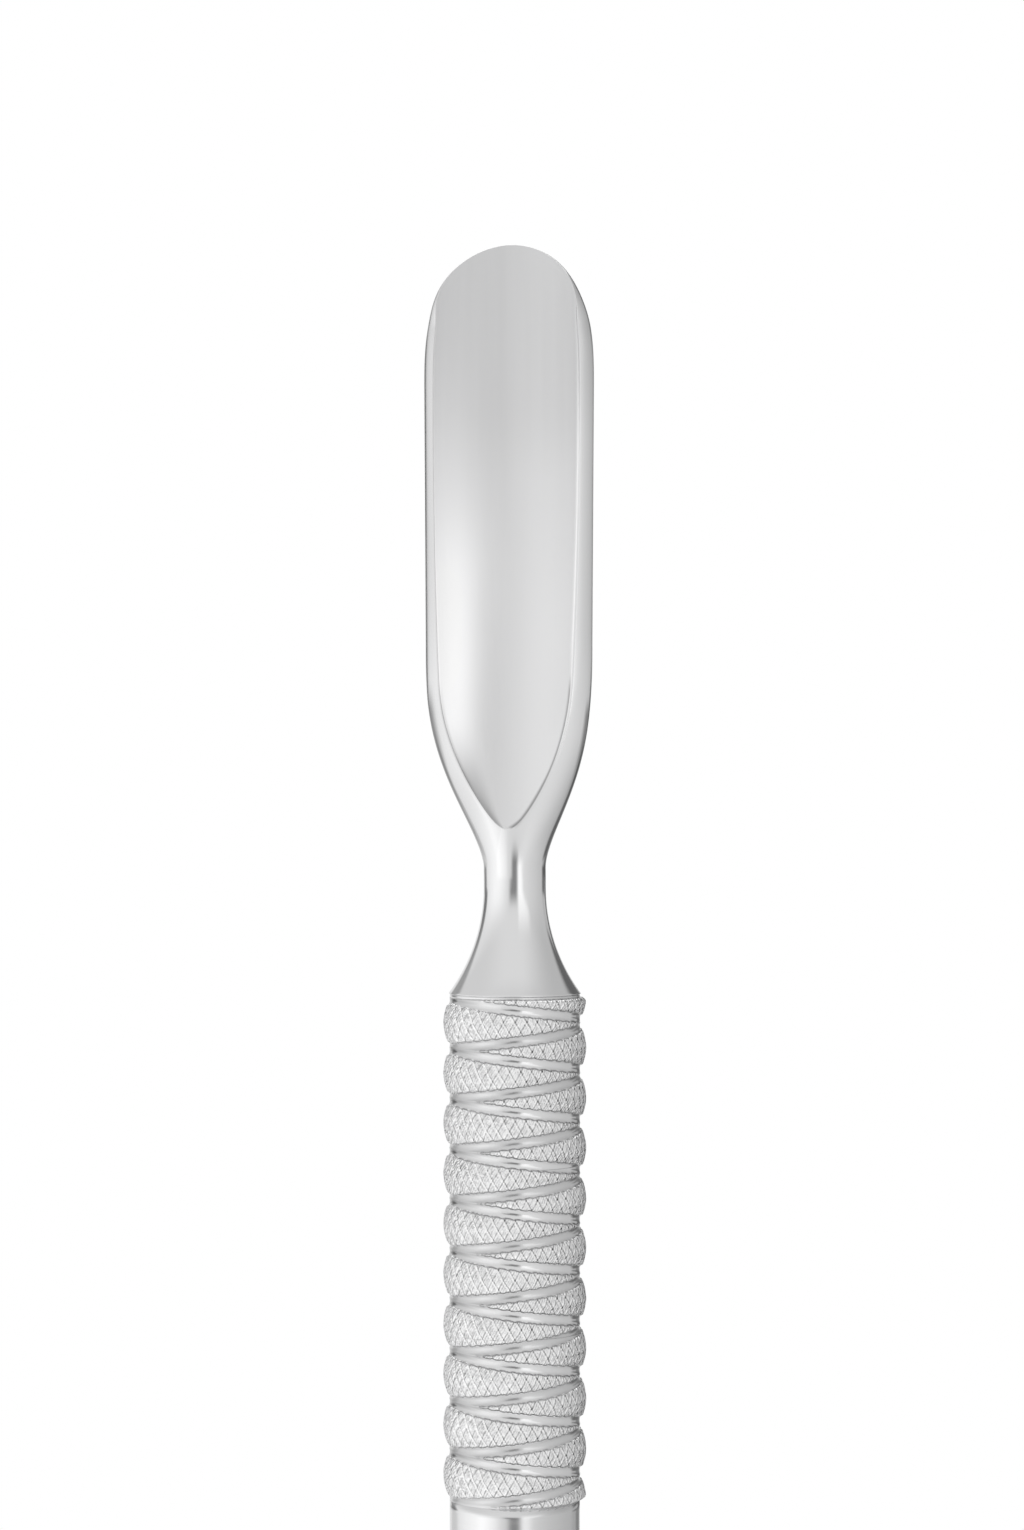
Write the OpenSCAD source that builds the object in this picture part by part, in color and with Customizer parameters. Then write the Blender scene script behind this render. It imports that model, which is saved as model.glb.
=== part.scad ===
// Double-ended cuticle pusher: a hollow knurled handle with a working end
// pressed into each of its two mouths. The tool stands along Z with the pusher
// up, and its origin is the middle of the handle's smooth band. The hollow
// face of the pusher looks toward -Y.

/* [Handle] */
// Length of the smooth band in the middle of the handle
band_l = 14; // [6:0.5:30]
// Diameter of the smooth band
band_d = 6.8; // [6.6:0.1:7.4]
// Diameter over the crowned lands
crest_d = 7.48; // [7.3:0.1:8.4]
// Diameter at the bottom of the crossed grooves
groove_d = 6.8; // [6.6:0.1:7]
// Width of a groove
groove_w = 0.5; // [0.3:0.05:0.8]
// Advance of a groove in one turn
groove_pitch = 2.62; // [2.2:0.02:3.2]
// Turns of each groove in one grooved zone
zone_turns = 10; // [4:1:11]
// Angle round the handle at which the two grooves cross
cross_angle = 214; // [0:2:358]
// Length of the plain rim at each mouth of the handle
rim_l = 0.2; // [0.1:0.05:0.6]
// Bore of the handle tube
bore_d = 5.4; // [4.4:0.1:5.8]

/* [Joint of handle and working ends] */
// Length of the spigot that a working end has inside the handle
spigot_l = 8; // [4:0.5:14]
// Clearance all round a spigot in the bore
fit_gap = 0.03; // [0.01:0.01:0.08]
// Bevel on the inner end of a spigot
spigot_bevel = 0.4; // [0.2:0.1:0.8]

/* [Flare and neck] */
// Diameter of the flare where it meets the handle
flare_d = 6.95; // [6.2:0.05:7.2]
// Length of the flare from the handle to the neck
flare_l = 5.6; // [4:0.2:8]
// Diameter of the neck
neck_d = 3.24; // [2.8:0.04:3.8]

/* [Pusher] */
// Length of the pusher from the handle to its tip
pusher_l = 39; // [34:0.1:46]
// Width of the blade near the tip
blade_w = 9; // [7.6:0.02:10]
// Width of the blade above its shoulder
base_w = 8.84; // [7.6:0.02:10]
// Height above the handle at which the shoulder reaches the full width
shoulder_top = 18.4; // [16:0.2:21]
// Length of the shoulder, from the neck to the full width
shoulder_l = 11.8; // [10:0.2:12.4]
// Length of the rounded tip
tip_l = 7.3; // [5:0.1:8.4]
// How far the blade is set forward of the handle's axis
blade_set = 1.46; // [1.2:0.02:1.7]
// Height above the handle at which the forward set is complete
set_top = 16; // [14:0.5:18]
// Depth of the flank in front of the blade's widest line
flank_t = 1.42; // [1.3:0.02:1.6]
// Depth of the rounded back behind the edge band
back_t = 1.38; // [1.3:0.02:1.8]
// Thickness of the edge band round the blade
edge_t = 0.1; // [0.06:0.02:0.4]

/* [Hollow of the pusher] */
// Radius of the hollow across the blade
hollow_r = 6; // [5.8:0.1:7]
// Radius of the hollow along the blade
hollow_run_r = 216; // [200:4:300]
// Height above the handle at which the hollow begins
hollow_foot = 8.6; // [8.2:0.1:9.4]
// Forward set of the tip's edge from the handle's axis
tip_set = 0.96; // [0.8:0.02:1.1]

/* [Scraper] */
// Length of the scraper from the handle to its point
scraper_l = 33; // [28:0.5:40]
// Height above the handle at which the round shank ends
shank_l = 12; // [9:0.5:15]
// Length over which the round shank is forged flat
forge_l = 6; // [4:0.5:8]
// Width of the flat blade at the shank
scraper_w = 4; // [3.6:0.1:5]
// Width of the flat blade at its cutting edge
scraper_tip_w = 5.6; // [4.4:0.1:7]
// Thickness of the flat blade
scraper_t = 1.4; // [1:0.1:1.8]
// Slope of the cutting edge across the blade
edge_slope = 28; // [10:1:35]
// Length of the ground bevel behind the cutting edge
bevel_l = 2.6; // [1.5:0.1:4]
// Thickness left at the cutting edge
scraper_edge_t = 0.25; // [0.15:0.05:0.4]

/* [Hidden] */
$fn = 96;

zone_l = zone_turns * groove_pitch;
handle_half = band_l / 2 + zone_l + rim_l;
neck_r = neck_d / 2;
spigot_d = bore_d - 2 * fit_gap;

// The round neck runs on for this much past the flare
neck_run = 0.3;
// A lofted root is this much smaller than the round neck that it grows from
root_step = 0.02;

function clamp(v, lo, hi) = min(max(v, lo), hi);
// Smooth step from 0 to 1 as v goes from 0 to 1
function ease(v) = let (t = clamp(v, 0, 1)) t * t * (3 - 2 * t);
function mix(a, b, t) = a + (b - a) * t;

// ---- Handle -------------------------------------------------------------

// Grid lines across one pitch: one step on each side of the groove's middle,
// one up each wall, and the rest over the land
land_steps = 6;
steps = land_steps + 4;
// Width of the steep wall between a groove and the land beside it
wall_w = 0.06;
// Length over which the lands die out at an end of a zone
run_out = 0.2;
// How far a grooved zone reaches into the plain cylinder beside it
zone_lap = 0.08;
// Least rise from one ring of the grid to the next
ring_rise = 0.03;
// Heights of the groove's edge and of the land's shoulder, as shares of the whole land
groove_rise = 0.17;
land_shoulder = 0.5;

// Place of grid line i along the pitch direction, 0 in the middle of a groove
function line_at(i) =
    let (turn = floor(i / steps), s = i - turn * steps,
         foot = groove_w / 2 + wall_w, land_l = groove_pitch - 2 * foot)
    turn * groove_pitch +
    (s == 0 ? 0 : s == 1 ? groove_w / 2 : s == steps - 1 ? groove_pitch - groove_w / 2
     : foot + (s - 2) / land_steps * land_l);

// Height of the surface above the groove bottom, 0 to 1, at a distance d from
// the middle of a groove: a shallow groove, a steep wall, then a crowned land
function profile(d) =
    let (g = groove_w / 2, foot = g + wall_w, c = groove_pitch / 2)
    d <= g ? groove_rise * pow(d / g, 2)
    : d < foot ? mix(groove_rise, land_shoulder, (d - g) / wall_w)
    : mix(land_shoulder, 1, 1 - pow(1 - (d - foot) / (c - foot), 2.2));

function to_groove(v) = let (m = v - groove_pitch * round(v / groove_pitch)) abs(m);

// Point of the grooved surface where line i of the right-hand groove family
// meets line j of the left-hand one, with z from the foot of the zone
function groove_point(i, j, first, last) =
    let (u = line_at(i), v = line_at(j), k = i + j,
         a = 180 * (u - v) / groove_pitch + cross_angle,
         z = k < first + 2 ? -zone_lap
           : k > last - 2 ? zone_l + zone_lap
           : clamp((u + v) / 2, ring_rise * (k - first - 1),
                   zone_l - ring_rise * (last - 1 - k)),
         fade = ease(min(z, zone_l - z) / run_out),
         h = min(profile(to_groove(u)), profile(to_groove(v))) * fade,
         r = (k < first + 2 || k > last - 2)
           ? groove_d / 2 - zone_lap
           : groove_d / 2 + h * (crest_d - groove_d) / 2)
    [r * cos(a), r * sin(a), z];

// One zone of the handle with a right-hand and a left-hand groove that cross.
// The grid lines follow both grooves, so that each groove keeps its own edges.
module grooved_zone() {
    first = -1;
    last = 2 * steps * zone_turns + 1;
    rings = last - first + 1;
    points = [for (k = [first : last], i = [0 : steps - 1])
        groove_point(i, k - i, first, last)];
    function id(k, i) = (k - first) * steps + (i + steps) % steps;
    faces = concat(
        [for (k = [first : last - 2], i = [0 : steps - 1], side = [0, 1])
            side == 0 ? [id(k + 2, i + 1), id(k + 1, i + 1), id(k, i)]
                      : [id(k + 1, i), id(k + 2, i + 1), id(k, i)]],
        [[for (i = [0 : steps - 1], s = [0, 1]) s == 0 ? id(first, i) : id(first + 1, i + 1)]],
        [[for (i = [steps - 1 : -1 : 0], s = [1, 0]) s == 0 ? id(last - 1, i) : id(last, i + 1)]]);
    polyhedron(points, faces, convexity = 6);
}

module handle_tube() {
    color("silver") difference() {
        union() {
            cylinder(d = band_d, h = band_l, center = true);
            for (end = [0, 1]) mirror([0, 0, end]) {
                translate([0, 0, band_l / 2]) grooved_zone();
                translate([0, 0, band_l / 2 + zone_l])
                    cylinder(d = groove_d, h = rim_l);
            }
        }
        cylinder(d = bore_d, h = 3 * handle_half, center = true);
    }
}

// ---- Parts that both working ends have -----------------------------------

// Spigot, flare and the foot of the neck, with z from the handle's mouth
module shank_foot() {
    run_r = (flare_d - neck_d) / 2;
    flare_r = (pow(flare_l, 2) + pow(run_r, 2)) / (2 * run_r);
    rotate_extrude() difference() {
        square([flare_d / 2, flare_l + neck_run]);
        translate([neck_r + flare_r, flare_l]) circle(r = flare_r);
        translate([neck_r, flare_l]) square([flare_r, 2 * neck_run]);
    }
    translate([0, 0, -spigot_l]) rotate_extrude() polygon([
        [0, 0], [spigot_d / 2 - spigot_bevel, 0], [spigot_d / 2, spigot_bevel],
        [spigot_d / 2, spigot_l], [0, spigot_l]]);
}

// ---- Pusher --------------------------------------------------------------

// Steps of one blade section: round the back, along each flank and across the hollow
back_n = 14;
flank_n = 3;
hollow_n = 12;
// Angle past the widest line at which the flank starts
flank_start = 6;
// Angle past the widest line beyond which the hollow never comes
rim_least = 10;
// Exponents of the shoulder's outline, at the full width and at the neck
shoulder_power = 2.95;
neck_power = 1.7;
// Exponent of the rounded tip's outline
tip_power = 2.8;
// Shares of the tip's length over which its edge passes to the hollow's rim
lip_foot = 0.6;
lip_top = 0.15;
// Half of the hollow's width at its very foot
foot_half = 0.3;
blade_foot = flare_l + neck_run;
tip_foot = pusher_l - tip_l;

// Share of the full width that is left at height h in the rounded tip
function tip_share(h) =
    h <= tip_foot ? 1 : sqrt(max(0, 1 - pow(1 - (pusher_l - h) / tip_l, tip_power)));

// Half of the blade's width at height h
function half_width(h) =
    let (foot = max(shoulder_top - shoulder_l, blade_foot),
         u = clamp((h - foot) / (shoulder_top - foot), 0, 1),
         full = mix(base_w, blade_w, clamp((h - shoulder_top) / (tip_foot - shoulder_top), 0, 1)) / 2)
    mix(neck_r, full, pow(1 - pow(1 - u, shoulder_power), neck_power)) * tip_share(h);

// Depth of the flank in front of the widest line
function flank(h) =
    mix(flank_t, neck_r, pow(ease((tip_foot - h) / (tip_foot - blade_foot)), 2)) * tip_share(h);

// 0 on the round neck, 1 on the blade above its shoulder
function flatness(h) = ease((h - blade_foot) / (shoulder_top - blade_foot));

// Thickness of the edge band at height h, which thins out round the tip
function band(h) = edge_t * flatness(h) * tip_share(h);

function set_forward(h) = -blade_set * ease((h - blade_foot) / (set_top - blade_foot));

// The hollow is part of a ring-shaped surface that passes through the front of
// the blade at the hollow's foot and through the tip's edge
hollow_a = [set_forward(hollow_foot) - flank(hollow_foot), hollow_foot];
hollow_b = [-tip_set, pusher_l];
hollow_chord = norm(hollow_b - hollow_a);
hollow_mid = (hollow_a + hollow_b) / 2;
hollow_rise = sqrt(pow(hollow_run_r, 2) - pow(hollow_chord / 2, 2));
hollow_axis = hollow_mid + hollow_rise / hollow_chord
    * [hollow_a[1] - hollow_b[1], hollow_b[0] - hollow_a[0]];

// Y of the hollow's surface at distance x from the middle and height h
function hollow_y(x, h) =
    let (rho = hollow_run_r - hollow_r + sqrt(max(0, pow(hollow_r, 2) - x * x)))
    hollow_axis[0] + sqrt(pow(rho, 2) - pow(h - hollow_axis[1], 2));

// Y of the widest line: set forward along the blade, then along the rim of the
// hollow round the tip
function edge_y(h) =
    mix(set_forward(h),
        hollow_y(half_width(h) * cos(rim_least), h) + flank(h) * sin(rim_least),
        ease((h - pusher_l + lip_foot * tip_l) / ((lip_foot - lip_top) * tip_l)));

// Y of the back's ridge, which comes forward to the tip's edge
function back_y(h) =
    mix(-tip_set, set_forward(h) + edge_t * flatness(h) + mix(neck_r, back_t, flatness(h)),
        tip_share(h));

// Y of the uncut front at distance x from the middle
function front_y(x, h) = edge_y(h) - flank(h) * sqrt(max(0, 1 - pow(x / half_width(h), 2)));

// Distance from the middle at which the hollow runs out of the front, by halving
function rim_x(h, lo, hi, n = 16) =
    let (mid = (lo + hi) / 2)
    n == 0 ? mid
    : hollow_y(mid, h) > front_y(mid, h) ? rim_x(h, mid, hi, n - 1) : rim_x(h, lo, mid, n - 1);

// Half of the hollow's width, which opens out again as plain front on the neck
function hollow_half(h) =
    let (most = half_width(h) * cos(rim_least))
    h > hollow_foot ? max(foot_half, rim_x(h, 0, most))
    : mix(foot_half, most / 2, clamp((hollow_foot - h) / (hollow_foot - blade_foot), 0, 1));

// One section of the blade: rounded back, edge band, flank, hollow, flank
function blade_section(h) =
    let (w = half_width(h), e = edge_y(h), f = flank(h), foot = e + band(h),
         rim = hollow_half(h), rim_a = acos(rim / w))
    concat(
        [for (i = [0 : back_n]) let (a = 180 * i / back_n)
            [w * cos(a), foot + (back_y(h) - foot) * sin(a), h]],
        [for (i = [0 : flank_n]) let (a = mix(flank_start, rim_a, i / flank_n))
            [-w * cos(a), e - f * sin(a), h]],
        [for (i = [1 : hollow_n - 1]) let (x = rim * (2 * i / hollow_n - 1))
            [x, h > hollow_foot ? max(hollow_y(x, h), front_y(x, h)) : front_y(x, h), h]],
        [for (i = [flank_n : -1 : 0]) let (a = mix(flank_start, rim_a, i / flank_n))
            [w * cos(a), e - f * sin(a), h]]);

// The same number of points round a circle, for the root inside the neck
function root_section(h, r) =
    [for (p = blade_section(blade_foot)) let (q = [p[0], p[1]]) [each q / norm(q) * r, h]];

// A closed solid through a list of sections, from the lowest to the highest
module loft(sections) {
    n = len(sections[0]);
    m = len(sections);
    polyhedron(
        [for (s = sections) each s],
        concat(
            [for (k = [0 : m - 2], i = [0 : n - 1])
                [k * n + i, (k + 1) * n + i, (k + 1) * n + (i + 1) % n, k * n + (i + 1) % n]],
            [[for (i = [0 : n - 1]) i]],
            [[for (i = [n - 1 : -1 : 0]) (m - 1) * n + i]]),
        convexity = 4);
}

module pusher_blade() {
    neck_rings = 5;
    shoulder_rings = 12;
    blade_rings = 5;
    tip_rings = 9;
    // Flat that is left at the very tip
    tip_flat = 0.04;
    root = neck_r - root_step;
    heights = concat(
        [for (k = [1 : neck_rings]) mix(blade_foot, hollow_foot, k / neck_rings)],
        [for (k = [1 : shoulder_rings])
            mix(hollow_foot, shoulder_top, pow(k / shoulder_rings, 1.8))],
        [for (k = [1 : blade_rings]) mix(shoulder_top, tip_foot, k / blade_rings)],
        [for (k = [1 : tip_rings]) pusher_l - tip_flat
            - (tip_l - tip_flat) * pow(1 - k / tip_rings, 1.7)]);
    loft(concat(
        [for (h = [blade_foot - neck_run / 2, blade_foot + neck_run / 4]) root_section(h, root)],
        [for (h = heights) blade_section(h)]));
}

module pusher_head() {
    color("gainsboro") translate([0, 0, handle_half]) {
        shank_foot();
        pusher_blade();
    }
}

// ---- Scraper -------------------------------------------------------------

// The blade's outline seen from the front, with a slanted cutting edge
module scraper_outline() {
    foot = shank_l + forge_l;
    drop = scraper_tip_w * tan(edge_slope);
    polygon([[-scraper_w / 2, foot], [scraper_w / 2, foot],
        [scraper_tip_w / 2, scraper_l - drop], [-scraper_tip_w / 2, scraper_l]]);
}

module scraper_head() {
    foot = shank_l + forge_l;
    slab = 0.02;
    color("gainsboro") mirror([0, 0, 1]) translate([0, 0, handle_half]) {
        shank_foot();
        translate([0, 0, flare_l]) cylinder(r = neck_r, h = shank_l - flare_l);
        hull() {
            translate([0, 0, shank_l - slab]) cylinder(r = neck_r, h = slab, $fn = 32);
            translate([-scraper_w / 2, -scraper_t / 2, foot]) cube([scraper_w, scraper_t, slab]);
        }
        difference() {
            rotate([90, 0, 0]) translate([0, 0, -scraper_t / 2])
                linear_extrude(scraper_t) scraper_outline();
            scraper_bevel();
        }
    }
}

// The wedge that is ground away behind the cutting edge
module scraper_bevel() {
    reach = 2 * scraper_tip_w;
    grind = atan((scraper_t - scraper_edge_t) / bevel_l);
    translate([-scraper_tip_w / 2, scraper_t / 2, scraper_l]) rotate([0, edge_slope, 0])
        translate([0, scraper_edge_t - scraper_t, 0]) rotate([grind, 0, 0])
            translate([-reach, 0, -reach]) cube([2 * reach + scraper_tip_w, scraper_t * 2, 2 * reach]);
}

handle_tube();
pusher_head();
scraper_head();
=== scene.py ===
# Double-ended cuticle pusher, dressed in steel. The tool stands along Z with the
# pusher up; its knurled handle, its pusher and its scraper are rebuilt here finer
# than the solids, from the same sizes.
import math

import bpy
import numpy as np
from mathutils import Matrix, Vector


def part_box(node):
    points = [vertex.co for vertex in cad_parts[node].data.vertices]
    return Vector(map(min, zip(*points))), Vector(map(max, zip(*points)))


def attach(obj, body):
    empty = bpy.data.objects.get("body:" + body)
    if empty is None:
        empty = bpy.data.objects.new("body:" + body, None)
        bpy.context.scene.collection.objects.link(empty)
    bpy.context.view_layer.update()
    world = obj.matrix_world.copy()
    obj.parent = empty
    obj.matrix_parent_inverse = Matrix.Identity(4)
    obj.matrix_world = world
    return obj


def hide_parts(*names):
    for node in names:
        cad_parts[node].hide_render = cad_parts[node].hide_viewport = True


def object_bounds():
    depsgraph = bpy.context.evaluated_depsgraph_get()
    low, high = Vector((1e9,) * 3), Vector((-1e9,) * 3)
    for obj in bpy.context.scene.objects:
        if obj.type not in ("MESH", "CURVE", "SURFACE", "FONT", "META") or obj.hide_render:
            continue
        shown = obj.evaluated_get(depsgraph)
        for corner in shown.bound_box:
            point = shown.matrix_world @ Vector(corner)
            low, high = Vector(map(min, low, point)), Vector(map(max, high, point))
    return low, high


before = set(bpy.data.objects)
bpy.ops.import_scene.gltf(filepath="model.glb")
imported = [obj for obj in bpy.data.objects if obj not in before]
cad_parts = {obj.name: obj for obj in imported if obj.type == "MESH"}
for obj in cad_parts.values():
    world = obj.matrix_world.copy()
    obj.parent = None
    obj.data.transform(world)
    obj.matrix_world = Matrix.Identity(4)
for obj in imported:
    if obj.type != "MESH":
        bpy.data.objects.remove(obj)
CAD_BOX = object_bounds()

MM = 0.001

# ---- Sizes in millimetres, as the solids have them ----------------------------
BAND_R = 3.4
CREST_R = 3.74
GROOVE_W = 0.5
WALL_W = 0.06
GROOVE_RISE = 0.17
LAND_SHOULDER = 0.5
LAND_POWER = 2.2
PITCH = 2.62
CROSS_ANGLE = math.radians(214)
RUN_OUT = 0.2
RIM_L = 0.2
BORE_R = 2.7
SPIGOT_R = 2.67
SPIGOT_L = 8
SPIGOT_BEVEL = 0.4
FLARE_R = 3.475
FLARE_L = 5.6
NECK_R = 1.62
PUSHER_L = 39.0
BLADE_W = 9.0
BASE_W = 8.84
SHOULDER_TOP = 18.4
SHOULDER_L = 11.8
SHOULDER_POWER = 2.95
NECK_POWER = 1.7
TIP_L = 7.3
TIP_POWER = 2.8
BLADE_SET = 1.46
SET_TOP = 16
FLANK_T = 1.42
BACK_T = 1.38
EDGE_T = 0.1
HOLLOW_R = 6
HOLLOW_RUN_R = 216
HOLLOW_FOOT = 8.6
TIP_SET = 0.96
RIM_LEAST = math.radians(10)
LIP_FOOT = 0.6
LIP_TOP = 0.15
BLADE_FOOT = 5.9
TIP_FOOT = PUSHER_L - TIP_L
SCRAPER_L = 33
SHANK_L = 12
FORGE_L = 6
SCRAPER_W = 4
SCRAPER_TIP_W = 5.6
SCRAPER_T = 1.4
EDGE_SLOPE = math.radians(28)
BEVEL_L = 2.6
SCRAPER_EDGE_T = 0.25

# The handle's mouths and the tool's lowest point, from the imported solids
HANDLE_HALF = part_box("handle_tube")[1].z / MM
LOWEST = CAD_BOX[0][2]
BAND_HALF = 7.0
ZONE_L = HANDLE_HALF - RIM_L - BAND_HALF

# Small steps and roundings that the solids do without
RIM_BEVEL = 0.03
RIM_W_LEAST = 0.3
RIM_BLEND = 0.02
LIP_R = 0.03
LIP_ROUND = 0.02
LIP_STEP = 0.004
MOUTH_EDGE = 0.05
CORE_DROP = 0.1
CORE_STEP = 0.02
APEX = 0.003
LEAST_R = 0.001

# The knurl: strokes round the handle, their lean in strokes for each millimetre,
# their depth and unrest, how far they fray the grooves' edges, the reach of the
# painted shade spot at a crossing, and the lengths that each zone is made in
KNURL_LINES = 39.0
KNURL_LEAN = 0.98
KNURL_DEPTH = 0.08
KNURL_WANDER = 0.06
RAGGED_EDGE = 0.05
CROSSING = 0.8
LENGTHS = 3

# The studio: the steel's tint, the floor, and how far round from the front,
# toward +X, the viewer stands
TINT = (1.0, 1.0, 1.005)
FLOOR_R = 70
FLOOR_GAP = 0.05
VIEW_TURN = math.radians(12.9)


def put(name, data):
    """A new object that shows this data."""
    made = bpy.data.objects.new(name, data)
    bpy.context.scene.collection.objects.link(made)
    return made


# ---- Node trees written as plain sums -----------------------------------------
class Sock:
    """One output of a node, which can stand in a Python sum."""

    def __init__(self, bench, socket):
        self.bench, self.socket = bench, socket

    def sum(self, operation, *others):
        """This value and the others through one math node."""
        values = dict(enumerate((self,) + others))
        return self.bench.node("ShaderNodeMath", values, operation=operation)[0]

    def __add__(self, other):
        return self.sum("ADD", other)

    __radd__ = __add__

    def __sub__(self, other):
        return self.sum("SUBTRACT", other)

    def __rsub__(self, other):
        return (self * -1).sum("ADD", other)

    def __mul__(self, other):
        return self.sum("MULTIPLY", other)

    __rmul__ = __mul__

    def __truediv__(self, other):
        return self.sum("DIVIDE", other)

    def __pow__(self, other):
        return self.sum("POWER", other)

    def __abs__(self):
        return self.sum("ABSOLUTE")

    def least(self, other):
        return self.sum("MINIMUM", other)

    def most(self, other):
        return self.sum("MAXIMUM", other)

    def clamped(self):
        return self.most(0).least(1)

    def ease(self, low, high):
        """0 below low, 1 above high, and a smooth step between them."""
        t = ((self - low) / (high - low)).clamped()
        return t * t * (3 - 2 * t)

    def band(self, foot, low, high, top):
        """1 from low to high, and 0 below foot and above top."""
        return self.ease(foot, low) * (1 - self.ease(high, top))

    def near(self, place, reach):
        """1 where the value's part past a whole number is at place, and 0 from reach on."""
        return (1 - (self - place).to_line() / reach).most(0)

    def to_line(self):
        """How far the value is from the nearest whole number."""
        return abs(self - self.sum("ROUND"))


class Made:
    """A node that was made, whose outputs are read by name or number."""

    def __init__(self, bench, node):
        self.bench, self.node = bench, node

    def __getitem__(self, key):
        return Sock(self.bench, self.node.outputs[key])


class Bench:
    """A node tree in which every node comes from node()."""

    def __init__(self, tree):
        self.tree = tree
        tree.nodes.clear()

    def node(self, kind, sockets=None, stops=None, **settings):
        """A new node with its sockets filled, and a colour ramp's stops where given."""
        made = self.tree.nodes.new(kind)
        for name, value in settings.items():
            setattr(made, name, value)
        if stops:
            bar = made.color_ramp.elements
            while len(bar) < len(stops):
                bar.new(0.5)
            for mark, (place, level) in zip(bar, stops):
                mark.position, mark.color = place, (level, level, level, 1)
        for key, value in (sockets or {}).items():
            self.join(made.inputs[key], value)
        return Made(self, made)

    def join(self, target, value):
        """Links a node's output to a socket, or gives the socket a plain value."""
        if isinstance(value, Sock):
            self.tree.links.new(value.socket, target)
        else:
            target.default_value = value


def finish(name):
    """A new material and its bench."""
    material = bpy.data.materials.new(name)
    material.use_nodes = True
    return material, Bench(material.node_tree)


def steel(bench, base, roughness, relief, depth):
    """Bare steel, whose relief runs from 0 to 1 over a depth in millimetres."""
    color = bench.node("ShaderNodeCombineColor", {i: base * TINT[i] for i in range(3)})
    normal = bench.node("ShaderNodeBump", {
        "Height": relief, "Distance": depth * MM, "Strength": 1.0})
    surface = bench.node("ShaderNodeBsdfPrincipled", {
        "Base Color": color[0], "Metallic": 1.0, "Roughness": roughness, "Normal": normal[0]})
    bench.node("ShaderNodeOutputMaterial", {"Surface": surface[0]})


def place(bench, scale=(1.0, 1.0, 1.0)):
    """The piece's own coordinates in millimetres, each axis times its scale."""
    where = bench.node("ShaderNodeTexCoord")["Object"]
    return bench.node("ShaderNodeMapping",
                      {"Vector": where, "Scale": tuple(s / MM for s in scale)})[0]


def axes(bench):
    """The piece's own x, y and z in millimetres."""
    return bench.node("ShaderNodeSeparateXYZ", {0: place(bench)})


def noise(bench, vector, scale=1.0, detail=2.0, roughness=0.5):
    """Soft noise from 0 to 1 at a place."""
    return bench.node("ShaderNodeTexNoise", {
        "Vector": vector, "Scale": scale, "Detail": detail, "Roughness": roughness})["Fac"]


def mark(bench, name):
    """A mark that the mesh carries, by its name."""
    return bench.node("ShaderNodeAttribute", attribute_name=name)["Fac"]


def knurl_lines(bench, angle, z, crest, lines, lean, wander):
    """Counts of the knurl's falling and climbing strokes at a place on the handle."""
    spread = bench.node("ShaderNodeCombineXYZ", {
        0: angle.sum("COSINE") * crest, 1: angle.sum("SINE") * crest, 2: z})
    unrest = (noise(bench, spread[0], 0.9, 2.0) - 0.5) * wander * 4
    stride = angle / (2 * math.pi) * lines + unrest
    return stride + z * lean, stride - z * lean


def blade_steel():
    """Satin hollow with fine strokes along the blade, brighter flanks and neck."""
    material, bench = finish("satin_blade_steel")
    hollow, height, across, rim, limb_shade, back = (
        mark(bench, name) for name in ("hollow", "height", "across", "rim", "limb_shade", "back"))
    where = axes(bench)
    strokes = noise(bench, place(bench, (9, 9, 0.12)), 1.0, 4.0, 0.6)
    streaks = noise(bench, place(bench, (1.6, 1.6, 0.05)), 1.0, 3.0)
    cloud = noise(bench, place(bench, (0.25, 0.25, 0.1)), 1.0, 2.0)
    tip, blade = height.ease(12, 36), height.ease(12, 20)
    satin = 0.36 + 0.26 * tip + 0.08 * (strokes - 0.5) + 0.05 * (cloud - 0.5)
    bright = 0.12 + 0.14 * blade * (1 + back) + 0.04 * (strokes - 0.5)
    roughness = bright + hollow * (satin - bright)
    # Rougher where the rim mark paints a glint
    roughness = roughness + (rim * -3).clamped() * (0.5 - roughness)

    # Painted light: the hollow is paler on its left, most at the middle of its length
    left = (where[0] * -1 - 1.2 * height.ease(22, 31)).ease(-0.8, 3.2)
    left = left * (0.8 + 0.2 * height.ease(13, 18) - 0.6 * height.ease(20.5, 28))
    left = left * (1 - height.ease(27, 37))
    # Painted shade: the bowl's left part near the foot, the hollow's right side and its part toward
    # the tip are darker
    cup_shade = (across * -1).ease(0.45, 0.95) * (1 - height.ease(11, 14.5))
    shade = 0.25 * left - (0.04 - 0.02 * height.ease(14, 20)) * where[0].ease(0, 3) - 0.3 * cup_shade
    shade = shade - 0.045 * height.ease(26, 31) + 0.05 * (streaks - 0.5) * tip

    base = 0.80 - blade * (1 - hollow) * 0.07 + hollow * (shade - 0.03)
    # Painted shade along the rims and limbs, and a painted glint where the rim mark is below 0
    base = (base + 0.02 * (strokes - 0.5)) * (1 - rim) * (1 - limb_shade)
    steel(bench, base, roughness, strokes, 0.0012)
    return material


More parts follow.
